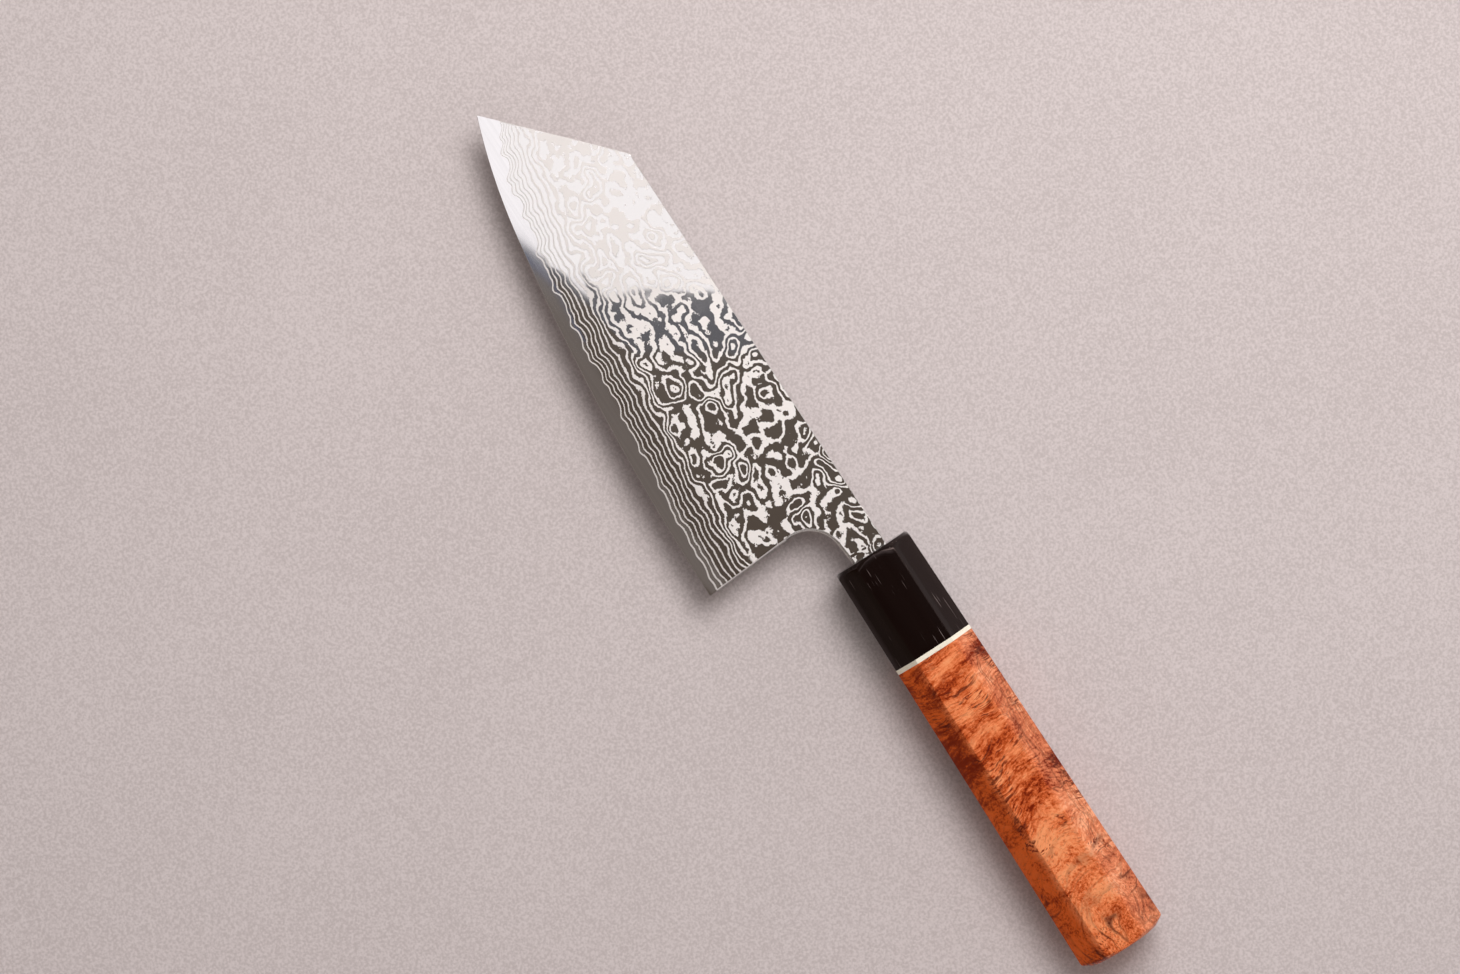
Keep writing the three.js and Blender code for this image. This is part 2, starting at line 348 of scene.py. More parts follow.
def spineLine(x):
    return x * (blade["spineFall"] / (blade["tipReach"] - blade["clipLength"])) - blade["spineRise"]


def edgeLine(x):  # two arcs that run smoothly into each other
    joinX = blade["tipReach"] - blade["tipCurveLength"]
    angle = math.asin((joinX - blade["heelReach"]) / blade["edgeRadius"])
    bellyY = blade["heelDepth"] - blade["edgeRadius"]
    inward = blade["edgeRadius"] - blade["tipCurveRadius"]
    tipX = blade["heelReach"] + inward * math.sin(angle)
    tipY = bellyY + inward * math.cos(angle)
    belly = bellyY + np.sqrt(blade["edgeRadius"] ** 2 - np.minimum(x - blade["heelReach"], joinX) ** 2)
    quick = tipY + np.sqrt(np.maximum(blade["tipCurveRadius"] ** 2 - (x - tipX) ** 2, 0))
    return np.where(x < joinX, belly, quick)


def bladeCorners():
    lean = math.tan(blade["heelLean"])
    flare = math.tan(blade["neckFlare"])
    choilX = (blade["heelReach"] + lean * (blade["heelDepth"] - blade["neckDepth"])) / (1 + lean * flare)
    clipX = blade["tipReach"] - blade["clipLength"]
    return {
        "heel": np.array([blade["heelReach"], blade["heelDepth"]]),
        "choil": np.array([choilX, blade["neckDepth"] + flare * choilX]),
        "neck": np.array([0, blade["neckDepth"]]),
        "spine": np.array([0, -blade["spineRise"]]),
        "clip": np.array([clipX, spineLine(clipX)]),
        "tip": np.array([blade["tipReach"], float(edgeLine(np.array(blade["tipReach"])))]),
        "tangTop": np.array([-blade["tangLength"], -blade["tangEndHeight"] / 2]),
        "tangLow": np.array([-blade["tangLength"], blade["tangEndHeight"] / 2]),
    }


def fillet(before, corner, after, radius):  # centre, first and last point of the arc that rounds a corner
    toBefore = (before - corner) / np.linalg.norm(before - corner)
    toAfter = (after - corner) / np.linalg.norm(after - corner)
    half = math.acos(float(toBefore @ toAfter)) / 2
    middle = (toBefore + toAfter) / np.linalg.norm(toBefore + toAfter)
    centre = corner + middle * radius / math.sin(half)
    reach = radius / math.tan(half)
    return centre, corner + toBefore * reach, corner + toAfter * reach


def choilArc(corner):
    return fillet(corner["heel"], corner["choil"], corner["neck"], blade["choilRadius"])


def lineGap(x, y, first, last):  # signed distance to the left of the line
    way = (last - first) / np.linalg.norm(last - first)
    return (y - first[1]) * way[0] - (x - first[0]) * way[1]


def rims(points, corner):  # distance to the nearest rounded rim, and its rounding there
    x = points[..., 0]
    y = points[..., 1]
    topGap = np.minimum(lineGap(x, y, corner["spine"], corner["clip"]),
                        lineGap(x, y, corner["clip"], corner["tip"]))
    clipRun = [corner["clip"][0] + run for run in blade["clipEaseRun"]]
    topEase = np.interp(x, clipRun, [blade["spineEase"], blade["clipEase"]])
    centre, arcFirst, arcLast = choilArc(corner)
    lowGap = np.maximum(lineGap(x, y, corner["choil"], corner["neck"]),
                        lineGap(x, y, corner["heel"], corner["choil"]))
    spoke = points - centre
    inSector = ((spoke @ (corner["choil"] - corner["neck"]) > 0)
                & (spoke @ (corner["choil"] - corner["heel"]) > 0))
    lowGap = np.where(inSector, np.linalg.norm(spoke, axis=-1) - blade["choilRadius"], lowGap)
    choilRun = [end[1] + run for end, run in zip((arcLast, arcFirst), blade["choilEaseRun"])]
    lowEase = np.interp(y, choilRun, [blade["neckEase"], blade["heelEase"]])
    nearTop = topGap < lowGap
    gap = np.where(nearTop, topGap, lowGap)
    return np.maximum(gap, 0), np.where(x < 0, 0, np.where(nearTop, topEase, lowEase))


def edgeGap(points):
    return edgeLine(points[..., 0]) - points[..., 1]


def bladeHalf(points):  # half of the thickness, before the rims are rounded
    x = points[..., 0]
    y = points[..., 1]
    return groundHalf(grind, x, y - spineLine(x), edgeGap(points))


def claddingDepth(points):  # positive where cladding covers the core
    return bladeHalf(points) - weldHalf(grind, points[..., 0])


def bisect(rule, low, high, halvings=50):  # the place between low and high where the rule falls to 0
    for _ in range(halvings):
        middle = (low + high) / 2
        above = rule(middle) > 0
        low = np.where(above, middle, low)
        high = np.where(above, high, middle)
    return (low + high) / 2


def straightPart(first, last):
    return lambda shares: first + (last - first) * shares[:, None]


def linePart(line, firstX, lastX):  # along the spine or the edge
    def points(shares):
        x = firstX + (lastX - firstX) * shares
        return np.stack([x, line(x)], 1)

    return points


def arcPart(centre, first, last):
    start = math.atan2(*(first - centre)[::-1])
    turn = math.atan2(*(last - centre)[::-1]) - start
    turn = (turn + math.pi) % (2 * math.pi) - math.pi
    radius = np.linalg.norm(first - centre)

    def points(shares):
        angles = start + turn * shares
        return centre + radius * np.stack([np.cos(angles), np.sin(angles)], 1)

    return points


def bladeColumns(corner):  # matching points along the upper and the lower outline
    centre, arcFirst, arcLast = choilArc(corner)
    clipCentre, clipFirst, clipLast = fillet(
        corner["spine"], corner["clip"], corner["tip"], blade["clipRound"])
    tip = corner["tip"]
    neckX, choilX, heelX, edgeX = panel["spineStops"]
    cornerX, clipX = panel["edgeStops"]
    clip = straightPart(clipLast, tip)
    bareShare = bisect(lambda share: claddingDepth(clip(share)), np.zeros(1), np.ones(1))
    barePoint = clip(bareShare)[0]  # ahead of it the clip is core alone
    bareX = clipX + (tip[0] - clipX) * bareShare[0]
    parts = (
        ("tang", straightPart(corner["tangTop"], corner["spine"]),
         straightPart(corner["tangLow"], corner["neck"])),
        ("neck", linePart(spineLine, neckX, choilX), straightPart(corner["neck"], arcLast)),
        ("choil", linePart(spineLine, choilX, heelX), arcPart(centre, arcLast, arcFirst)),
        ("heel", linePart(spineLine, heelX, edgeX), straightPart(arcFirst, corner["heel"])),
        ("edge", linePart(spineLine, edgeX, clipFirst[0]),
         linePart(edgeLine, corner["heel"][0], cornerX)),
        ("corner", arcPart(clipCentre, clipFirst, clipLast), linePart(edgeLine, cornerX, clipX)),
        ("clip", straightPart(clipLast, barePoint), linePart(edgeLine, clipX, bareX)),
        ("point", straightPart(barePoint, tip), linePart(edgeLine, bareX, tip[0])),
    )
    upper = []
    lower = []
    for name, topPart, lowPart in parts:
        shares = np.linspace(0, 1, panel[name] + 1)
        skip = 1 if upper else 0
        upper.append(topPart(shares)[skip:])
        lower.append(lowPart(shares)[skip:])
    return np.concatenate(upper), np.concatenate(lower)


def rowShares(count, firstStep, lastStep):  # from 0 to 1, closer together towards both ends
    even = np.linspace(0, 1, count + 1)
    return even * ((1 - even) ** 2 * firstStep + even * (3 - 2 * even) - even * (1 - even) * lastStep)


def bladePanel(name, coreToo):
    corner = bladeCorners()
    upper, lower = bladeColumns(corner)
    if not coreToo:
        upper = upper[:-panel["point"]]
        lower = lower[:-panel["point"]]
    full = np.ones(len(upper))

    def across(share):  # from the upper to the lower outline
        return upper + (lower - upper) * share[:, None]

    weld = bisect(lambda share: claddingDepth(across(share)), full * 0, full)
    rows = [weld * step for step in rowShares(panel["cladRows"], panel["rimStep"], panel["weldStep"])]
    if coreToo:
        shoulder = bisect(lambda share: edgeGap(across(share)) - grind["edgeBevel"], weld, full)
        coreSteps = rowShares(panel["coreRows"], panel["rimStep"], panel["rimStep"])[1:]
        rows += [between(step, weld, shoulder) for step in coreSteps]
        rows += [between(step, shoulder, full) for step in panel["bevelRows"]]
    points = np.stack([across(row) for row in rows], 1)
    columns, depth = points.shape[:2]
    index = np.arange(columns * depth).reshape(columns, depth)
    faces = np.stack([index[:-1, :-1], index[1:, :-1], index[1:, 1:], index[:-1, 1:]], -1).reshape(-1, 4)
    flat = points.reshape(-1, 2)
    mesh = bpy.data.meshes.new(name)
    mesh.from_pydata(np.column_stack([flat, np.zeros(len(flat))]).tolist(), [], faces.tolist())
    fields = (flat[:, 1] - spineLine(flat[:, 0]), edgeGap(flat), *rims(flat, corner))
    for field, values in zip(panelFields, fields):
        mesh.attributes.new(field, "FLOAT", "POINT").data.foreach_set("value", values.astype(np.float32))
    return mesh


def layerTree(name, topRule, lowRule):
    board, first, size = geometryBoard(name, list(grind))
    toSpine, toEdge, rimGap, rimEase = [
        board.add("GeometryNodeInputNamedAttribute", {"Name": field}, data_type="FLOAT")
        for field in panelFields]
    x, y, _ = splitPlace(board.add("GeometryNodeInputPosition"))
    weld = weldHalf(size, x)
    half = easedHalf(size, groundHalf(size, x, toSpine, toEdge), weld, rimGap, rimEase)
    raised = board.join(x, y, topRule(half, weld))
    lowered = board.join(x, y, lowRule(half, weld))
    flat = first.output("Geometry")
    walls = board.add("GeometryNodeExtrudeMesh", {
        "Mesh": flat, "Offset Scale": 0.0, "Individual": False}, mode="FACES")
    isTop = walls.output("Top")
    notTop = board.add("FunctionNodeBooleanMath", [isTop], operation="NOT")
    dropped = board.add("GeometryNodeSetPosition", {
        "Geometry": walls, "Selection": notTop, "Position": lowered})
    lifted = board.add("GeometryNodeSetPosition", {
        "Geometry": dropped, "Selection": isTop, "Position": raised})
    under = board.add("GeometryNodeSetPosition", {"Geometry": flat, "Position": lowered})
    flipped = board.add("GeometryNodeFlipFaces", {"Mesh": under})
    joined = board.add("GeometryNodeJoinGeometry", {"Geometry": [lifted, flipped]})
    return closeBoard(board, first, joined, panel["mergeGap"])


def makeBlade(coreFinish, layerFinish):
    layers = (
        ("blade_core", "core_steel", "core_steel", coreFinish, True,
         lambda half, weld: smaller(half, weld), lambda half, weld: -smaller(half, weld)),
        ("blade_cladding_left", "cladding_left", "layered_steel", layerFinish, False,
         lambda half, weld: larger(half, weld), lambda half, weld: weld),
        ("blade_cladding_right", "cladding_right", "layered_steel", layerFinish, False,
         lambda half, weld: -weld, lambda half, weld: -larger(half, weld)),
    )
    for name, node, slotName, finish, coreToo, topRule, lowRule in layers:
        tree = layerTree(name, topRule, lowRule)
        piece = makePiece(name, bladePanel(name, coreToo), tree, grind, finish, panel["sharpAngle"])
        settle(piece, slotName, node)


# Handle: octagonal bars between two rings, with turned ends

handle = {
    "length": (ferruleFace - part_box("handle_body")[0].x) / millimetre,
    "frontHeight": 21.1,
    "frontThickness": 17.5,
    "frontFacet": 5.2,
    "frontAngle": math.radians(47),
    "buttHeight": 24,
    "buttThickness": 20,
    "buttFacet": 6.6,
    "buttAngle": math.radians(30),
    "buttDome": 0.05,
    "arrisRound": 0.35,
    "chamferBite": 0.4,
    "edgeBreak": 0.07,        # at the joints between ferrule, spacer and body
    "endRound": 0.6,          # softened rim of the turned ends
    "softShare": 0.45,        # most of a chamfer that this rim may take
    "boreRadius": 6.1,
    "boreFront": 8,
    "boreEnd": 86.9,
    "slotHeight": 10.1,
    "slotWidth": 3.1,
    "slotReach": 16,          # behind the ferrule's face, into the bore
    "slotDrop": 0.45,         # the slot's middle lies this far towards the edge
}
ring = {
    "corners": 8,
    "arrisSteps": 4,
    "facetCuts": 3,
    "bore": 48,
    "mergeGap": 0.0005,
    "sharpAngle": math.radians(24),
}
barRows = {"disc": 8, "cone": 5, "rim": 5, "side": 20}


def octagonRing(board, size, end):
    angle = (board.add("GeometryNodeInputIndex") + 0.5) * (2 * math.pi / ring["corners"])
    across = angle.calc("COSINE")
    up = angle.calc("SINE")
    tall = across.calc("ABSOLUTE") > up.calc("ABSOLUTE")
    y = across.calc("SIGN") * (size[end + "Height"] * 0.5 - size[end + "Facet"] * (1 - tall))
    z = up.calc("SIGN") * (size[end + "Thickness"] * 0.5 - size[end + "Facet"] * tall)
    circle = board.add("GeometryNodeCurvePrimitiveCircle", {"Resolution": ring["corners"]}, mode="RADIUS")
    corners = board.add("GeometryNodeSetPosition", {
        "Geometry": circle, "Position": board.join(0.0, y, z)})
    rounded = board.add("GeometryNodeFilletCurve", {
        "Curve": corners, "Count": ring["arrisSteps"], "Radius": size["arrisRound"]}, mode="POLY")
    return board.add("GeometryNodeSubdivideCurve", {"Curve": rounded, "Cuts": ring["facetCuts"]})


def cutTang(board, size, bar):  # bore for the dowel and slot for the tang
    length = size["boreEnd"] - size["boreFront"]
    rod = board.add("GeometryNodeMeshCylinder", {
        "Vertices": ring["bore"], "Radius": size["boreRadius"], "Depth": length})
    bore = board.add("GeometryNodeTransform", {
        "Geometry": rod, "Rotation": (0, math.pi / 2, 0),
        "Translation": board.join(-(size["boreFront"] + length * 0.5), 0.0, 0.0)})
    block = board.add("GeometryNodeMeshCube", {
        "Size": board.join(size["slotReach"] * 2, size["slotHeight"], size["slotWidth"])})
    slot = board.add("GeometryNodeTransform", {
        "Geometry": block, "Translation": board.join(0.0, size["slotDrop"], 0.0)})
    return board.add("GeometryNodeMeshBoolean", {
        "Mesh 1": bar, "Mesh 2": [bore, slot]}, operation="DIFFERENCE", solver="MANIFOLD")


def barTree(name, frontTurned, buttTurned):
    board, first, size = geometryBoard(name, [*handle, "frontFace", "buttFace"])
    around = ring["corners"] * (ring["arrisSteps"] + 1) * (ring["facetCuts"] + 1)
    discEnd = barRows["disc"]
    coneEnd = discEnd + barRows["cone"]
    rimEnd = coneEnd + barRows["rim"]
    last = 2 * rimEnd + barRows["side"]
    grid = board.add("GeometryNodeMeshGrid", {
        "Size X": 1.0, "Size Y": 1.0, "Vertices X": last + 1, "Vertices Y": around + 1})
    place = board.add("GeometryNodeInputPosition")
    gridX, gridY, _ = splitPlace(place)
    row = ((gridX + 0.5) * last).calc("ROUND")
    column = ((gridY + 0.5) * around).calc("ROUND").calc("MODULO", around)

    def outline(end):
        sockets = {"Geometry": octagonRing(board, size, end), "Value": place, "Index": column}
        return board.add("GeometryNodeSampleIndex", sockets, data_type="FLOAT_VECTOR", domain="POINT")

    frontOutline = outline("front")
    buttOutline = outline("butt")

    def outlineAt(x):
        sockets = {"Factor": -x / size["length"], "A": frontOutline, "B": buttOutline}
        mixed = board.add("ShaderNodeMix", sockets, data_type="VECTOR", clamp_factor=False)
        return splitPlace(mixed)[1:]

    def endShape(end, isTurned):  # outline's radius, flat face's radius, steepness of the chamfer
        y, z = outlineAt(size[end + "Face"])
        if isTurned and end == "front":
            y = y * (size["frontThickness"] / size["frontHeight"])
        radius = root(y * y + z * z)
        if not isTurned:
            return radius, radius - size["edgeBreak"], 1
        faceRadius = size[end + "Thickness"] * 0.5 - size["chamferBite"]
        return radius, faceRadius, size[end + "Angle"].calc("TANGENT")

    def softRim(inset):
        return smaller(inset * size["softShare"], size["endRound"])

    def sideStart(shape):  # how far behind the face the straight side starts
        radius, faceRadius, steep = shape
        inset = radius - faceRadius
        return inset * steep + softRim(inset)

    front = endShape("front", frontTurned)
    butt = endShape("butt", buttTurned)
    atButt = row > last / 2
    radius, faceRadius, steep = [pick(atButt, b, a) for a, b in zip(front, butt)]
    face = pick(atButt, size["buttFace"], size["frontFace"])
    outward = 1 - 2 * atButt
    inset = radius - faceRadius
    soft = softRim(inset)
    fromEnd = smaller(row, last - row)
    onDisc, onCone, onRim = [fromEnd < lastRow + 0.5 for lastRow in (discEnd, coneEnd, rimEnd)]
    discSpread = faceRadius * (fromEnd / discEnd)
    coneSpread = faceRadius + (inset - soft) * ((fromEnd - discEnd) / barRows["cone"])
    turn = 1 - smaller((fromEnd - coneEnd) / barRows["rim"], 1)
    rimSpread = radius - turn * turn * soft
    spread = pick(onDisc, discSpread, pick(onCone, coneSpread, pick(onRim, rimSpread, radius))) / radius
    coneDepth = larger(spread * radius - faceRadius, 0) * steep
    rimDepth = inset * steep + (1 - turn) * (1 - turn) * soft - turn * turn * soft * steep
    dome = atButt * size["buttDome"] * (1 - spread * spread) if buttTurned else 0
    endX = face - outward * (pick(onCone, coneDepth, rimDepth) - dome)
    frontSide = size["frontFace"] - sideStart(front)
    buttSide = size["buttFace"] + sideStart(butt)
    sideX = frontSide + (buttSide - frontSide) * ((row - rimEnd) / barRows["side"])
    x = pick(onRim, endX, sideX)
    y, z = outlineAt(x)
    wrapped = board.add("GeometryNodeSetPosition", {
        "Geometry": grid, "Position": board.join(x, y * spread, z * spread)})
    closed = board.add("GeometryNodeMergeByDistance", {
        "Geometry": wrapped, "Distance": ring["mergeGap"]})
    return closeBoard(board, first, cutTang(board, size, closed), ring["mergeGap"])


def makeHandle(ferruleFinish, spacerFinish, bodyFinish):
    spacerFront = (spacerHigh.x - ferruleFace) / millimetre
    spacerBack = (spacerLow.x - ferruleFace) / millimetre
    buttEnd = -handle["length"]
    bars = (
        ("handle_ferrule", "ferrule", "dark_wood", ferruleFinish, 0, spacerFront, True, False),
        ("handle_spacer", "spacer", "pale_spacer", spacerFinish, spacerFront, spacerBack, False, False),
        ("handle_burl", "handle_body", "burl_wood", bodyFinish, spacerBack, buttEnd, False, True),
    )
    for name, node, slotName, finish, frontFace, buttFace, frontTurned, buttTurned in bars:
        tree = barTree(name, frontTurned, buttTurned)
        sizes = {**handle, "frontFace": frontFace, "buttFace": buttFace}
        piece = makePiece(name, bpy.data.meshes.new(name), tree, sizes, finish, ring["sharpAngle"])
        settle(piece, slotName, node)


# Finishes. In their dictionaries a noise is its wavelengths in mm, its detail and its roughness,
# a run is where something starts and where it is full, and a bump is its height in mm and its strength

noiseMiddle = 0.5  # noise goes from 0 to 1


def startFinish(name):
    material = bpy.data.materials.new(name)
    board = emptyBoard(material)
    at = board.add("ShaderNodeTexCoord", out="Object")
    shifted = board.vectors("SUBTRACT", at, tuple(knifeOrigin))
    return material, board.vectors("SCALE", shifted, 1 / millimetre)


def endFinish(material, looks):
    board = Board(material.node_tree)
    shader = board.add("ShaderNodeBsdfPrincipled", looks)
    board.add("ShaderNodeOutputMaterial", [shader])
    print("finish", material.name, len(material.node_tree.nodes), "nodes")
    return material


def grain(place, wave, detail=2, roughness=0.5):  # noise with a wavelength along each axis
    lengths = wave if isinstance(wave, tuple) else (wave, wave, wave)
    stretched = place.board.vectors("MULTIPLY", place, tuple(1 / length for length in lengths))
    return place.board.add("ShaderNodeTexNoise", {
        "Vector": stretched, "Scale": 1.0, "Detail": detail, "Roughness": roughness})


def swing(place, *noise):  # the same about 0
    return grain(place, *noise) - noiseMiddle


def ease(value, low, high):  # 0 below low, 1 above high
    return value.board.add("ShaderNodeMapRange", {
        "Value": value, "From Min": low, "From Max": high}, interpolation_type="SMOOTHSTEP")


def tint(share, low, high):
    return share.board.add("ShaderNodeMix", {
        "Factor": share, "A": colour(low), "B": colour(high)}, data_type="RGBA")


def colour(value):
    return value if isinstance(value, Value) else (*value, 1)


def bump(height, distance=1, strength=1):
    return height.board.add("ShaderNodeBump", {
        "Strength": strength, "Distance": distance * millimetre, "Height": height})


layeredLook = {
    "pairs": 8,  # light and dark layers in one cladding
    "firstLayer": 0.2,  # how much wider the first light layer is, at the core
    "weldRun": (0, 0.3),  # the first layers follow the weld, share of the bevel
    "flatRun": (0.5, 1),  # where the flat's pattern comes in
    "bands": ((5.5, 11, 40), 1, 0.5),  # how the layers wander on the bevel
    "bandSway": 1.5,  # and how far, in pairs
    "islands": ((7.4, 5.8, 40), 1, 0.4),  # how they wander on the flat
    "islandSway": 6.6,
    "calm": ((17, 13, 40), 0),  # some places of the flat are calmer than others
    "calmRun": (0.3, 0.7),
    "calmSway": (0.55, 1.45),
    "fine": ((1.9, 1.6, 6), 2, 0.55),
    "fineSway": 0.9,
    "fineShares": (0.3, 0.7),  # of it off the weld, and more on the flat
    "fray": (0.4, 2, 0.6),
    "fraySway": 0.35,
    "lightRun": (0.52, 0.72),  # height of the layers' wave at which they turn light
    "flatWidening": 0.32,  # lower on the flat, where light layers are wider
    "patches": ((9, 7, 40), 1),  # darker and lighter patches of the flat
    "patchDepth": 1.2,
    "darker": 0.09,
    "lighterRun": (45, 90),  # lighter towards the tip
    "tipLighter": 0.36,
    "heelRim": (0.24, 0.42),  # light rims: at the heel a painted highlight of the eased rim, at the clip a matte ground rim; distance from the outline
    "heelRimRun": (15, 18),
    "clipRim": (0.14, 0.24),
    "darkSteel": (0.56, 0.54, 0.515),
    "lineSteel": (0.665, 0.638, 0.623),  # light layers on the bevel
    "lightSteel": (0.785, 0.755, 0.738),  # and on the flat, less so towards the tip
    "tipRun": (72, 92),
    "tipShare": 0.6,
    "darkRoughness": 0.03,
    "lightRoughness": 0.62,
    "tone": (18, 2),
    "toneRoughness": 0.06,
    "etch": 0.0015,  # height of the light layers over the dark ones
    "unevenness": ((7, 9, 40), 1),  # of the polished side
    "unevenHeight": 0.01,
}


def layerPhase(place, rise, onFlat):  # how many pairs of layers lie between here and the core
    look = layeredLook
    offWeld = ease(rise, *look["weldRun"])
    calm = between(ease(grain(place, *look["calm"]), *look["calmRun"]), *look["calmSway"])
    even = larger(rise * look["pairs"] - look["firstLayer"], 0)
    bands = swing(place, *look["bands"]) * offWeld * look["bandSway"]
    islands = swing(place, *look["islands"]) * calm * onFlat * look["islandSway"]
    offShare, flatShare = look["fineShares"]
    fine = swing(place, *look["fine"]) * (offWeld * offShare + onFlat * flatShare) * look["fineSway"]
    fray = swing(place, *look["fray"]) * look["fraySway"]
    return even + bands + islands + fine + fray


def lightLayers(place, rise, onFlat):  # 1 on a light layer, 0 on a dark one
    look = layeredLook
    x, y, _ = splitPlace(place)
    wave = (layerPhase(place, rise, onFlat) * (2 * math.pi)).calc("COSINE")
    patches = swing(place, *look["patches"]) * look["patchDepth"]
    lighter = ease(x, *look["lighterRun"]) * look["tipLighter"]
    darker = (patches + look["darker"] - lighter) * onFlat
    start, end = [height - onFlat * look["flatWidening"] for height in look["lightRun"]]
    light = ease(wave - darker, start, end)
    corner = bladeCorners()
    heelGap = lineGap(x, y, corner["heel"], corner["choil"])
    clipGap = lineGap(x, y, corner["clip"], corner["tip"])
    # painted highlight along the heel's rim, and a matte ground rim along the clip, both given as light
    # steel
    heelRim = (1 - ease(heelGap, *look["heelRim"])) * ease(y, *look["heelRimRun"])
    clipRim = 1 - ease(clipGap, *look["clipRim"])
    return larger(light, larger(heelRim, clipRim))


def layeredSteel():
    look = layeredLook
    material, place = startFinish("layeredSteel")
    x, y, z = splitPlace(place)
    weld = weldHalf(grind, x)
    flat = flatHalf(grind, x, y - spineLine(x))
    depth = (z.calc("ABSOLUTE") - weld) / (flat - weld)  # 0 at the core, 1 on the flat side
    rise = 1 - root(larger(1 - depth, 0))  # grows evenly across the bevel
    onFlat = ease(rise, *look["flatRun"])
    light = lightLayers(place, rise, onFlat)
    fromTip = 1 - ease(x, *look["tipRun"]) * look["tipShare"]
    lightSteel = tint(onFlat * fromTip, look["lineSteel"], look["lightSteel"])
    tone = swing(place, *look["tone"]) * look["toneRoughness"]
    uneven = grain(place, *look["unevenness"]) * look["unevenHeight"]
    return endFinish(material, {
        "Base Color": tint(light, look["darkSteel"], lightSteel),
        "Metallic": 1.0,
        "Roughness": between(light, look["darkRoughness"], look["lightRoughness"]) + tone,
        "Normal": bump(light * look["etch"] + uneven),
    })


coreLook = {
    "steel": (0.56, 0.54, 0.525),
    "scratch": (0.59, 0.57, 0.555),
    "lines": ((30, 0.8, 2), 2, 0.5),  # fine scratches along the edge
    "lineRun": (0.35, 0.7),
    "cloud": ((9, 3, 6), 2),
    "roughness": 0.05,
    "roughnessSwing": 0.03,
    "bump": (0.001, 0.15),
}


def coreSteel():
    look = coreLook
    material, place = startFinish("coreSteel")
    lines = grain(place, *look["lines"])
    cloud = swing(place, *look["cloud"])
    uneven = cloud * look["roughnessSwing"] + (lines - noiseMiddle) * look["roughnessSwing"]
    return endFinish(material, {
        "Base Color": tint(ease(lines, *look["lineRun"]), look["steel"], look["scratch"]),
        "Metallic": 1.0,
        "Roughness": look["roughness"] + uneven,
        "Normal": bump(lines, *look["bump"]),
    })


darkLook = {
    "heart": (0.0030, 0.0008, 0.0007),
    "streak": (0.005, 0.0018, 0.0014),
    "pore": (0.12, 0.095, 0.09),
    "streaks": ((45, 1.6, 1.6), 3, 0.6),
    "streakRun": (0.45, 0.75),
    "fibres": ((9, 0.3, 0.3), 2, 0.6),
    "pores": ((8, 0.3, 0.3), 1, 0.4),
    "poreRun": (0.68, 0.74),
    "patches": ((15, 4, 4), 1),  # pores lie open in patches
    "patchRun": (0.52, 0.6),
    "roughness": 0.11,
    "fibreRoughness": 0.06,
    "poreRoughness": 0.3,
    "shine": 0.36,
    "shineTint": (1, 0.76, 0.7),
    "fibreHeight": 0.25,  # against the depth of a pore
    "bump": (0.02, 0.25),
}


def darkWood():
    look = darkLook
    material, place = startFinish("darkWood")
    streaks = ease(grain(place, *look["streaks"]), *look["streakRun"])
    fibres = grain(place, *look["fibres"])
    pores = ease(grain(place, *look["pores"]), *look["poreRun"])
    openPores = pores * ease(grain(place, *look["patches"]), *look["patchRun"])
    wood = tint(streaks, look["heart"], look["streak"])
    dull = (fibres - noiseMiddle) * look["fibreRoughness"] + openPores * look["poreRoughness"]
    return endFinish(material, {
        "Base Color": tint(openPores, wood, look["pore"]),
        "Roughness": look["roughness"] + dull,
        "Specular IOR Level": look["shine"],
        "Specular Tint": colour(look["shineTint"]),
        "Normal": bump(fibres * look["fibreHeight"] - openPores, *look["bump"]),
    })


spacerLook = {
    "pale": (0.86, 0.81, 0.68),
    "warm": (0.78, 0.70, 0.54),
    "specks": ((0.5, 1.1, 1.1), 3, 0.6),
    "speckRun": (0.45, 0.75),
    "roughness": 0.42,
    "speckRoughness": 0.2,
    "bump": (0.01, 0.2),
}


def paleSpacer():
    look = spacerLook
    material, place = startFinish("paleSpacer")
    specks = grain(place, *look["specks"])
    return endFinish(material, {
        "Base Color": tint(ease(specks, *look["speckRun"]), look["pale"], look["warm"]),
        "Roughness": look["roughness"] + (specks - noiseMiddle) * look["speckRoughness"],
        "Normal": bump(specks, *look["bump"]),
    })


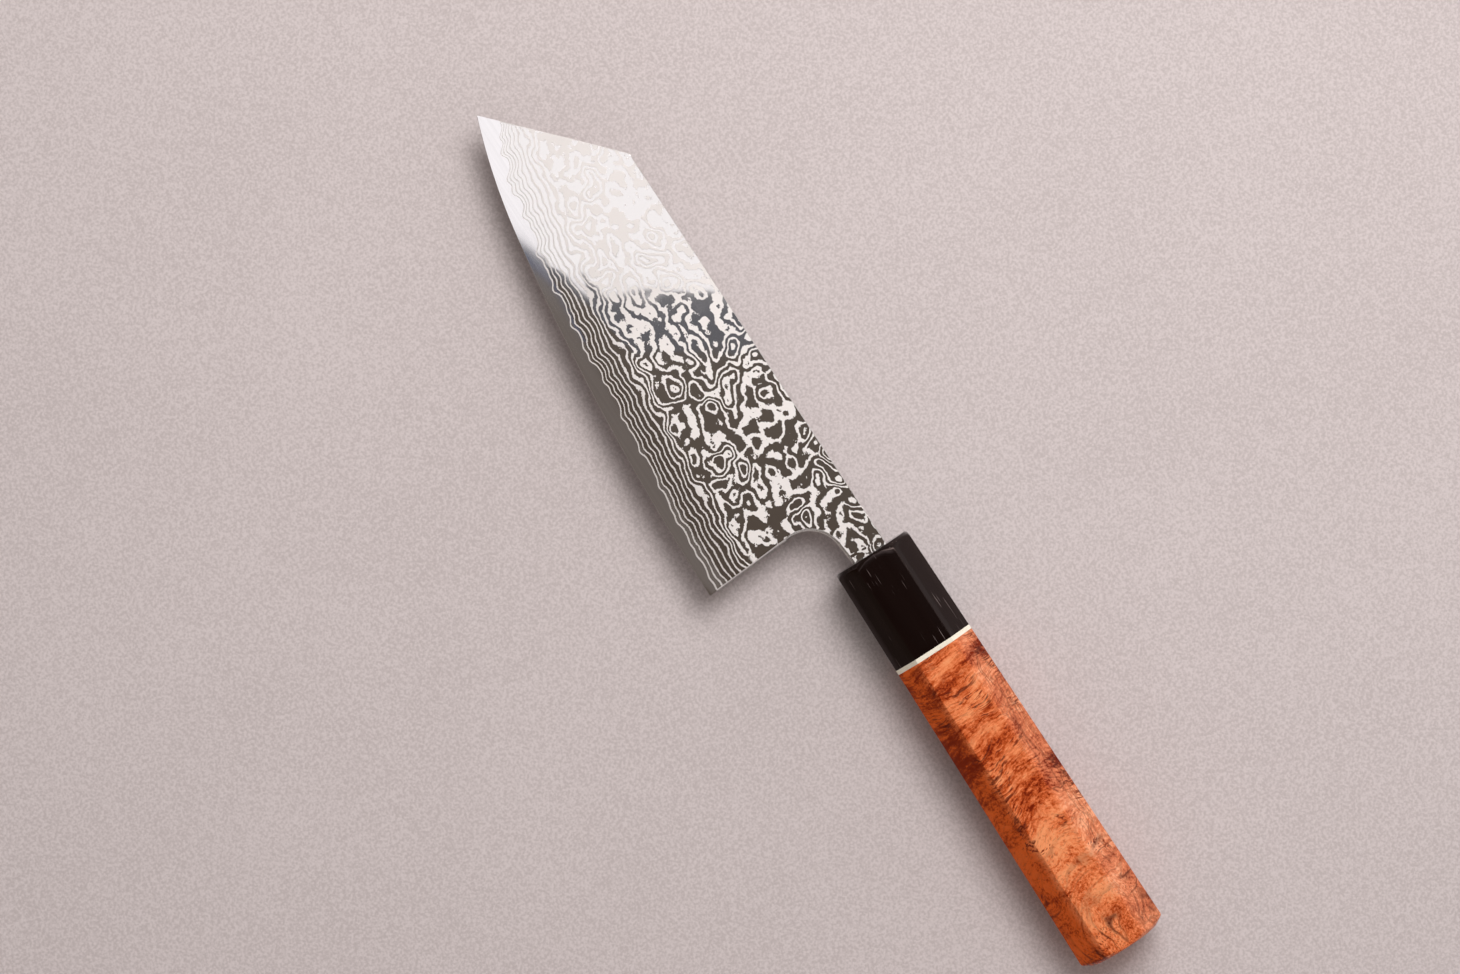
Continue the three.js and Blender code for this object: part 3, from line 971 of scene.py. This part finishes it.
burlLook = {
    "bright": (0.82, 0.235, 0.087),
    "mid": (0.53, 0.085, 0.017),
    "deep": (0.18, 0.014, 0.002),
    "glow": (0.88, 0.33, 0.14),
    "pale": (0.55, 0.20, 0.11),  # painted sheen: paler towards the spine's side, which faces the light
    # painted sheen on the brightest tones towards the spine's side
    "paleGlow": (0.86, 0.37, 0.20),
    "paintedShadeBright": (0.68, 0.092, 0.003),  # painted shade: darker and redder towards the edge's side, which faces away from the light
    "paintedShadeDeep": (0.21, 0.016, 0.0005),
    "line": (0.07, 0.009, 0.006),
    "eye": (-111, -7, 3),  # the figure curls round this place near the butt
    "eyeRun": (14, 38),  # distance from the eye
    "sway": (5, 16),  # how far the figure is bent, and over what length
    "ripple": (0.6, 3.2),
    "bendNoise": (1, 0.4),  # detail and roughness of what bends it
    "fibres": (0.8, 18, 4, 0.7),  # along the rings: mm across them, turns, detail, roughness
    "flecks": (0.5, 24, 2, 0.6),
    "curls": (3, 1.3, 1, 0.4),
    "rings": (3.4, 4, 3, 0.6),
    "veins": ((60, 3.4, 3.4), 3, 0.6),
    "cloud": ((6, 9, 9), 3, 0.6),
    "speckle": (0.6, 2, 0.7),
    "flame": ((4.6, 26, 26), 2, 0.5),  # bright and dark bands across
    "flameSlant": 0.25,
    "flameBend": (1.2, 9),
    "patches": ((8, 7, 7), 2),  # flecks and lines gather in patches
    "patchRun": (0.50, 0.60),
    "middleRun": (70, 84),  # distance behind the ferrule's face
    "buttRun": (92, 106),
    "buttShare": 0.45,
    "baseTone": 0.264,
    "fibreTone": 0.5,
    "speckleTone": 0.2,
    "cloudTone": (0.24, 0.38),  # in front of the middle and behind it
    "flameTone": (0.34, 0.18),
    "behindTone": 0.076,
    "brightRun": (0.46, 0.59),  # tones at which the colours come in
    "glowRun": (0.55, 0.67),
    "deepRun": (0.50, 0.60),  # the same, counted down from 1
    "lowRun": (0.46, 0.61),
    "lowTone": 0.01,
    "lowBehind": 0.012,
    "sideRun": (4.5, 7.5),  # distance from the axis
    "paintedSheenShare": 0.5,
    "paintedShadeShare": 0.86,
    "paleGlowRun": (3, 7),
    "veinRun": (3, 8),
    "fleckRun": (0.55, 0.63),
    "fleckPatches": (0.35, 1),  # outside the patches and in them
    "ringPatches": (0.12, 0.82),
    "curlWidth": 0.06,
    "lineWidth": 0.034,
    "fleckShare": 0.95,
    "curlShare": 0.8,
    "veinShare": 0.5,
    "roughness": 0.24,
    "fibreRoughness": 0.12,
    "fleckRoughness": 0.1,
    "shine": 0.2,
    "shineTint": (1, 0.7, 0.5),
    "fleckDepth": 0.6,  # against the height of a fibre
    "ringDepth": 0.4,
    "bump": (0.03, 0.3),
}


def bent(place, point, reach, length):  # the point, moved by a slow noise
    drift = grain(place, length, *burlLook["bendNoise"]).output("Color")
    centred = place.board.vectors("SUBTRACT", drift, (noiseMiddle, noiseMiddle, noiseMiddle))
    return place.board.vectors("MULTIPLY_ADD", centred, (reach * 2, reach * 2, reach * 2), point)


def growthRings(swayed):  # distance from the eye, and the way from it
    board = swayed.board
    fromEye = board.vectors("SUBTRACT", swayed, burlLook["eye"])
    return board.vectors("LENGTH", fromEye, out="Value"), board.vectors("NORMALIZE", fromEye)


def alongRings(growth, way, across, turns, detail, roughness):  # noise drawn out along the rings
    wayX, wayY, wayZ = splitPlace(way)
    spot = way.board.join(growth / across, wayY * turns, wayZ * turns)
    return way.board.add("ShaderNodeTexNoise", {
        "Vector": spot, "W": wayX * turns, "Scale": 1.0, "Detail": detail, "Roughness": roughness},
        noise_dimensions="4D")


def thinLines(noise, width):  # where the noise crosses its middle
    return 1 - ease((noise - noiseMiddle).calc("ABSOLUTE"), 0, width)


def burlTone(place, swayed, fibres, behindMiddle):
    look = burlLook
    x, y, z = splitPlace(place)
    slanted = place.board.join(x + y * look["flameSlant"], y, z)
    flame = swing(bent(place, slanted, *look["flameBend"]), *look["flame"])
    cloud = swing(swayed, *look["cloud"])
    speckle = swing(place, *look["speckle"])
    brighter = behindMiddle - ease(-x, *look["buttRun"]) * look["buttShare"]
    return (fibres * look["fibreTone"] + cloud * between(behindMiddle, *look["cloudTone"])
            + speckle * look["speckleTone"] + flame * between(behindMiddle, *look["flameTone"])
            + brighter * look["behindTone"] + look["baseTone"])


def burlColour(tone, y, behindMiddle):  # painted sheen makes it paler towards the spine, painted shade darker and redder towards the edge
    look = burlLook
    ground = tint(ease(tone, *look["brightRun"]), look["mid"], look["bright"])
    # painted sheen on the spine's side
    paintedSheen = tint(ease(-y, *look["sideRun"]) * look["paintedSheenShare"], ground, look["pale"])
    glow = tint(ease(-y, *look["paleGlowRun"]), look["glow"], look["paleGlow"])
    lit = tint(ease(tone, *look["glowRun"]), paintedSheen, glow)
    upper = tint(ease(1 - tone, *look["deepRun"]), lit, look["deep"])
    # painted shade on the edge's side
    lowTone = tone + look["lowTone"] + behindMiddle * look["lowBehind"]
    lower = tint(ease(lowTone, *look["lowRun"]), look["paintedShadeDeep"], look["paintedShadeBright"])
    return tint(ease(y, *look["sideRun"]) * look["paintedShadeShare"], upper, lower)


def burlWood():
    look = burlLook
    material, place = startFinish("burlWood")
    x, y, _ = splitPlace(place)
    swayed = bent(place, bent(place, place, *look["sway"]), *look["ripple"])
    growth, way = growthRings(swayed)
    fibres, flecks, curls, rings = [
        alongRings(growth, way, *look[figure]) for figure in ("fibres", "flecks", "curls", "rings")]
    behindMiddle = ease(-x, *look["middleRun"])
    tone = burlTone(place, swayed, fibres, behindMiddle)
    wood = burlColour(tone, y, behindMiddle)
    patches = ease(grain(place, *look["patches"]), *look["patchRun"])
    gathered = between(patches, *look["fleckPatches"])
    nearEye = 1 - ease(growth, *look["eyeRun"])
    flecks = ease(flecks, *look["fleckRun"]) * gathered
    curls = thinLines(curls, look["curlWidth"]) * nearEye * gathered
    rings = thinLines(rings, look["lineWidth"]) * between(patches, *look["ringPatches"]) * (1 - nearEye)
    veins = thinLines(grain(swayed, *look["veins"]), look["lineWidth"])
    veins = veins * ease(-y, *look["veinRun"])
    lines = larger(larger(rings, curls * look["curlShare"]), veins * look["veinShare"])
    flecked = tint(flecks * look["fleckShare"], wood, look["deep"])
    dull = (fibres - noiseMiddle) * look["fibreRoughness"] + flecks * look["fleckRoughness"]
    height = fibres - flecks * look["fleckDepth"] - rings * look["ringDepth"]
    return endFinish(material, {
        "Base Color": tint(lines, flecked, look["line"]),
        "Roughness": look["roughness"] + dull,
        "Specular IOR Level": look["shine"],
        "Specular Tint": colour(look["shineTint"]),
        "Normal": bump(height, *look["bump"]),
    })


hiddenLook = {  # the pieces inside the handle
    "tang_dowel": {"name": "dowelWood", "low": (0.50, 0.34, 0.19), "high": (0.62, 0.45, 0.27),
                   "fibres": ((12, 0.5, 0.5), 3, 0.6), "roughness": 0.6},
    "tang_bedding": {"name": "beddingResin", "low": (0.32, 0.22, 0.10), "high": (0.40, 0.29, 0.15),
                     "fibres": ((3, 3, 3), 3, 0.6), "roughness": 0.35},
}
hiddenGrain = {"run": (0.3, 0.7), "roughness": 0.2, "bump": (0.02, 0.3)}


def plainGrain(look):
    material, place = startFinish(look["name"])
    fibres = grain(place, *look["fibres"])
    return endFinish(material, {
        "Base Color": tint(ease(fibres, *hiddenGrain["run"]), look["low"], look["high"]),
        "Roughness": look["roughness"] + (fibres - noiseMiddle) * hiddenGrain["roughness"],
        "Normal": bump(fibres, *hiddenGrain["bump"]),
    })


def dressHidden():
    for node, look in hiddenLook.items():
        piece = bpy.data.objects[node]
        piece.data.materials.clear()
        piece.data.materials.append(plainGrain(look))


# Floor, light and camera

view = {
    "aim": (33.3, 20.9, 0),  # knife space, under the middle of the picture
    "lens": 135,
    "sensor": 36,
    "height": 1.383,  # metres above the handle's axis
    "turn": math.radians(-122.86),
}
floorLook = {
    "size": 8,  # metres
    "pale": (0.655, 0.592, 0.59),
    "mottle": (0.525, 0.467, 0.463),
    "broad": (60, 4, 0.6),
    "fine": (0.7, 2, 0.7),
    "broadShare": 0.12,
    "fineShare": 0.88,
    "paleRun": (0.35, 0.65),
    "roughness": 0.8,
    "shine": 0.2,
}
skyLook = {
    "farZenith": (0.19, 0.16, 0.14),
    "nearZenith": (0.125, 0.095, 0.078),
    "zenithBlend": (-0.04, 0.045),  # from the picture's lower to its upper side
    "rightHorizon": (0.92, 0.90, 0.91),
    "leftHorizon": (0.13, 0.09, 0.055),
    "seen": (0.62, 0.57, 0.54),
}
lamps = {  # place right and up in the picture and above the axis, size, radiance of the face, hue, aimed
    "key": ((0.22, 0.39, 0.74), (0.5, 0.5), 5.7, (1, 0.975, 0.965), True),
    "upperFill": ((0.25, 1, 1.15), (1.1, 0.5), 3.1, (1, 0.98, 0.97), True),
    "overhead": ((0, 0.449, 1.5), (0.28, 0.702), 1.46, (0.97, 0.975, 1.04), False),
    "besideIt": ((-0.3, 0.44, 1.5), (0.32, 0.72), 1.46, (0.97, 0.975, 1.04), False),
    "coolStrip": ((-0.1, 0.083, 1.5), (0.6, 0.028), 0.09, (0.2, 0.55, 1.1), False),
    "leftGlow": ((-0.38, -0.09, 1.5), (0.34, 0.3), 0.1, (1, 0.97, 0.98), False),
    "coolSide": ((-0.28, 0.05, 1.5), (0.15, 0.06), 0.2, (0.1, 0.4, 1.1), False),
}


def pictureWays():  # to the right and up in the picture
    turn = view["turn"]
    return Vector((math.cos(turn), math.sin(turn), 0)), Vector((-math.sin(turn), math.cos(turn), 0))


def inPicture(right, up, height):  # a place given as the picture sees it, from under its middle
    rightWay, upWay = pictureWays()
    aim = knifeOrigin + Vector(view["aim"]) * millimetre
    return aim + rightWay * right + upWay * up + Vector((0, 0, height))


def makeFloor():
    look = floorLook
    half = look["size"] / 2
    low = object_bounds()[0][2]
    mesh = bpy.data.meshes.new("floor")
    mesh.from_pydata([(-half, -half, low), (half, -half, low), (half, half, low), (-half, half, low)],
                     [], [(0, 1, 2, 3)])
    material, place = startFinish("paleFloor")
    broad = grain(place, *look["broad"])
    fine = grain(place, *look["fine"])
    pale = ease(broad * look["broadShare"] + fine * look["fineShare"], *look["paleRun"])
    mesh.materials.append(endFinish(material, {
        "Base Color": tint(pale, look["mottle"], look["pale"]),
        "Roughness": look["roughness"],
        "Specular IOR Level": look["shine"],
    }))
    floor = addObject("floor", mesh)


def makeSky():
    look = skyLook
    world = bpy.data.worlds.new("studio")
    board = emptyBoard(world)
    way = board.add("ShaderNodeTexCoord", out="Generated")
    up = splitPlace(way)[2]
    toRight, ahead = [board.vectors("DOT_PRODUCT", way, side, out="Value") for side in pictureWays()]
    horizon = tint(toRight * 0.5 + 0.5, look["leftHorizon"], look["rightHorizon"])
    zenith = tint(ease(ahead, *look["zenithBlend"]), look["nearZenith"], look["farZenith"])
    light = tint(1 - up * up, zenith, horizon)
    seen = board.add("ShaderNodeLightPath", out="Is Camera Ray")
    background = board.add("ShaderNodeBackground", {"Color": tint(seen, light, look["seen"])})
    board.add("ShaderNodeOutputWorld", [background])
    bpy.context.scene.world = world


def makeLamps():
    middle = inPicture(0, 0, 0)
    for name, (place, size, radiance, hue, isAimed) in lamps.items():
        light = bpy.data.lights.new(name, "AREA")
        light.shape = "RECTANGLE"
        light.size, light.size_y = size
        light.energy = radiance * math.pi * size[0] * size[1]
        light.color = hue
        holder = addObject(name, light)
        holder.location = inPicture(*place)
        holder.rotation_euler = (0, 0, view["turn"])
        if isAimed:
            holder.rotation_euler = (middle - holder.location).to_track_quat("-Z", "Y").to_euler()


def makeCamera():
    data = bpy.data.cameras.new("camera")
    data.lens = view["lens"]
    data.sensor_width = view["sensor"]
    camera = addObject("camera", data)
    camera.location = inPicture(0, 0, view["height"])
    camera.rotation_euler = (0, 0, view["turn"])
    bpy.context.scene.camera = camera


bpy.context.scene.view_settings.view_transform = "Standard"
makeBlade(coreSteel(), layeredSteel())
makeHandle(darkWood(), paleSpacer(), burlWood())
dressHidden()
makeFloor()
makeSky()
makeLamps()
makeCamera()
print("stage set with", len(lamps), "lamps")
